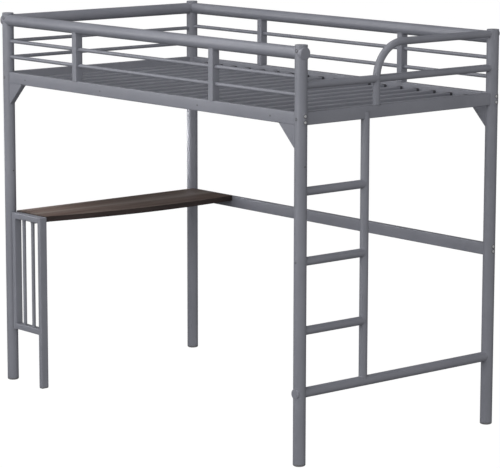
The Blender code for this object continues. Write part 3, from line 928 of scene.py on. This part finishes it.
def make_welds():
    """Beads where tubes are welded together, one piece for each joint."""
    for side in ("front", "back"):
        for end in ("left", "right"):
            low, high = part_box(f"guard_upright_{side}_{end}")
            middle, half = (low + high) / 2, (high - low) / 2
            rail_low, rail_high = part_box(f"side_rail_{side}")
            foot_z = rail_high.z + 0.0004
            half_y = min(half.y, (rail_high.y - rail_low.y) / 2)
            outline = rounded_outline(half.x, half_y, TUBE_CORNER)
            foot = [Vector((middle.x + u, middle.y + v, foot_z)) for u, v in outline]
            rail_z = node_middle(f"top_rail_{side}").z
            size = tube_radius(f"top_rail_{side}")
            head = []
            for u, v in rounded_outline(half.x, half.y, TUBE_CORNER):
                head.append(Vector((middle.x + u, middle.y + v, rail_z - math.sqrt(size**2 - v**2))))
            add_weld(f"weld_upright_{side}_{end}", [foot, head], 0.0014)
    make_post_welds()
    leg, foot_z = node_middle("entry_leg"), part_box("entry_leg")[0].z
    radius, bar_z = tube_radius("entry_leg", 0), node_middle("entry_bar").z
    lines = [crossing_line(leg, radius - HAIR, bar_z, radius, sign) for sign in (1, -1)]
    add_weld("weld_entry_bar", lines, 0.0013)
    foot = ring(Vector((leg.x, leg.y, foot_z)), Z, radius, 48)
    add_weld("weld_entry_leg", [foot], 0.0013)
    stile, stile_radius = node_middle("ladder_stile"), tube_radius("ladder_stile", 0)
    rail_z = node_middle("lower_end_rail").z
    line = crossing_line(stile, stile_radius, rail_z, tube_radius("lower_end_rail"), 1)
    add_weld("weld_stile_foot", [line], 0.0014)
    for index in (1, 2, 3):
        rung_z = node_middle(f"ladder_rung_{index}").z
        line = saddle_line(stile, stile_radius, -Y, rung_z, stile_radius - 2 * HAIR)
        add_weld(f"weld_rung_{index}", [line], 0.0013)


def make_post_welds():
    """Beads round each tube's end, where it meets a post."""
    for side in ("front", "back", "left"):
        axis = "Y" if side == "left" else "X"
        ends = {"front": ("front_left", "front_right"), "back": ("back_left", "back_right")}
        ends = ends.get(side, ("front_left", "back_left"))
        for place, inward in zip(ends, (AXES[axis], -AXES[axis])):
            centre, radius = post_centre(place)
            lines = []
            for level in ("upper", "lower"):
                node = f"guard_rod_{side}_{level}"
                rod_z = node_middle(node).z
                lines.append(saddle_line(centre, radius, inward, rod_z, tube_radius(node), 32))
            add_weld(f"weld_rods_{side}_{place}", lines, 0.0010)
    box_rails = {
        "side_rail_front": ("X", "front_left", "front_right"),
        "side_rail_back": ("X", "back_left", "back_right"),
        "desk_back_rail": ("X", "back_left", "back_right"),
        "end_rail_left": ("Y", "front_left", "back_left"),
        "end_rail_right": ("Y", "front_right", "back_right"),
    }
    for node, (axis, *places) in box_rails.items():
        add_weld(f"weld_{node}", [wrapped_line(node, axis, place) for place in places], 0.0008)
    size, level = tube_radius("entry_bar"), node_middle("entry_bar").z
    lines = []
    for place, inward in (("front_right", Y), ("back_right", -Y)):
        lines.append(saddle_line(*post_centre(place), inward, level, size))
    add_weld("weld_entry_bar_posts", lines, 0.0011)
    for index in (1, 2, 3):
        node = f"ladder_rung_{index}"
        size = tube_radius(node) - 2 * HAIR
        line = saddle_line(*post_centre("front_right"), Y, node_middle(node).z, size)
        add_weld(f"weld_rung_{index}_post", [line], 0.0011)


def crossing_line(upright, radius, bar_z, bar_radius, sign):
    """Where an upright round tube meets a level one that runs along Y."""
    points = []
    for i in range(64):
        angle = 2 * math.pi * i / 64
        x, y = radius * math.cos(angle), radius * math.sin(angle)
        rise = math.sqrt(max(0.0, bar_radius**2 - x**2))
        points.append(Vector((upright.x + x, upright.y + y, bar_z + sign * rise)))
    return points


def wrapped_line(node, axis, place):
    """Where a level box tube meets an upright round post."""
    centre, radius = post_centre(place)
    low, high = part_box(node)
    middle, half = (low + high) / 2, (high - low) / 2
    direction = AXES[axis]
    inward = direction if middle.dot(direction) > centre.dot(direction) else -direction
    across = Y if axis == "X" else X
    points = []
    for u, v in rounded_outline(half.dot(across), half.z, RAIL_CORNER):
        aside = middle.dot(across) + u - centre.dot(across)
        out = math.sqrt(max(0.0, radius**2 - aside**2))
        points.append(centre + inward * out + across * aside + Z * (middle.z + v))
    return points


def add_lights():
    """Softboxes in front, at the left and overhead, and two small soft ones at the desk end."""
    area_light("front_near", (0.05, -1.0, 0.28), 5.5, 4.0, 143)
    area_light("front_right", (0.6, -0.75, 0.48), 9, 4.5, 185)
    area_light("front_left", (-0.72, -0.68, 0.23), 9, 3.2, 160)
    area_light("high_left", (-0.52, -0.52, 0.82), 9, 4.0, 200)
    area_light("top", (0.03, -0.06, 1.0), 9, 5.0, 225)
    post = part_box("post_back_left")[0]
    small = (
        area_light("back_left_rim", (-0.84, -0.55, 0.0), 0.8, 0.4, 1.5, (post.x, post.y, 1.02), 34),
        area_light("desk_end_glow", (-0.62, -0.1, 0.65), 0.75, 0.3, 0.72, (-0.80, -0.46, 0.76), 56),
    )
    for light in small:
        light.visible_glossy = False


def make_materials():
    grey_dark, grey_light = (0.179, 0.184, 0.213), (0.204, 0.209, 0.240)
    made = (
        ("steel", powder_coat("powder_coat", grey_dark, grey_light, 0.36, 0.46)),
        ("slat_steel", powder_coat("powder_coat_slats", grey_dark, grey_light, 0.42, 0.52)),
        ("bolt", bolt_steel()),
        ("plastic", moulded_plastic("glide_plastic", (0.150, 0.152, 0.162), (0.178, 0.180, 0.190))),
        # Near-black holder plastic: painted shade, standing in for the dark gaps at the slats' ends.
        ("holder", moulded_plastic("holder_plastic_painted_shade", (0.040, 0.040, 0.046), (0.056, 0.056, 0.063))),
        # Near-black washers and hole plugs; round the bolt heads this dark tone is painted shade, the
        # ring of occlusion round each head.
        ("washer", moulded_plastic("dark_plastic_and_bolt_shade", (0.060, 0.060, 0.066), (0.085, 0.085, 0.092))),
    )
    MATERIALS.update(made)
    facing = (0.074, 0.051, 0.043), (0.129, 0.095, 0.082), (0.209, 0.186, 0.172)
    edging = (0.020, 0.013, 0.012), (0.036, 0.024, 0.021), (0.055, 0.036, 0.032)
    MATERIALS["board"] = board_wood("board_facing", *facing, 0.40)
    MATERIALS["board_edge"] = board_wood("board_edge", *edging, 0.40)


def main():
    add_camera()
    add_world()
    add_stage()
    add_lights()
    make_materials()
    bpy.context.scene.view_settings.view_transform = "Standard"
    make_posts()
    make_glides()
    make_top_rails()
    make_rods()
    make_uprights()
    make_deck_rails()
    make_gussets()
    make_slats()
    make_slat_ends()
    make_ladder()
    make_entry()
    make_desk_frame()
    make_board()
    make_bolts()
    make_rivets()
    make_welds()


main()
